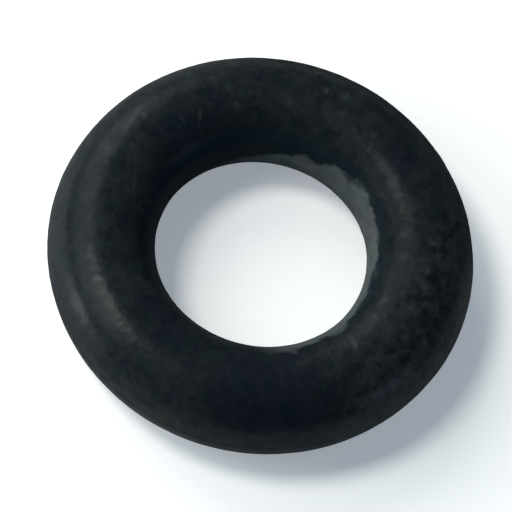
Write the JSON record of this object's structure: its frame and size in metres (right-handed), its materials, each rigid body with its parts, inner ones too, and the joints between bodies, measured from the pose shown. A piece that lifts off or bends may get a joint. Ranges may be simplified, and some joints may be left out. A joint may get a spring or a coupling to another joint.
{
  "type": "o-ring",
  "caption": "Small rubber sealing ring of round section, moulded in one piece, with a fine trimmed parting-line land around its bore and its rim.",
  "frame": {"origin": "centre of the ring, on the parting plane half way up its section", "axes": "+Z along the ring's axis, up from the surface it lies on; X and Y lie in the plane of the ring"},
  "size_m": [0.0106, 0.0106, 0.0026],
  "materials": {
    "nitrile_rubber": "matte"
  },
  "bodies": {
    "root": {"o_ring": "nitrile_rubber"}
  },
  "joints": []
}
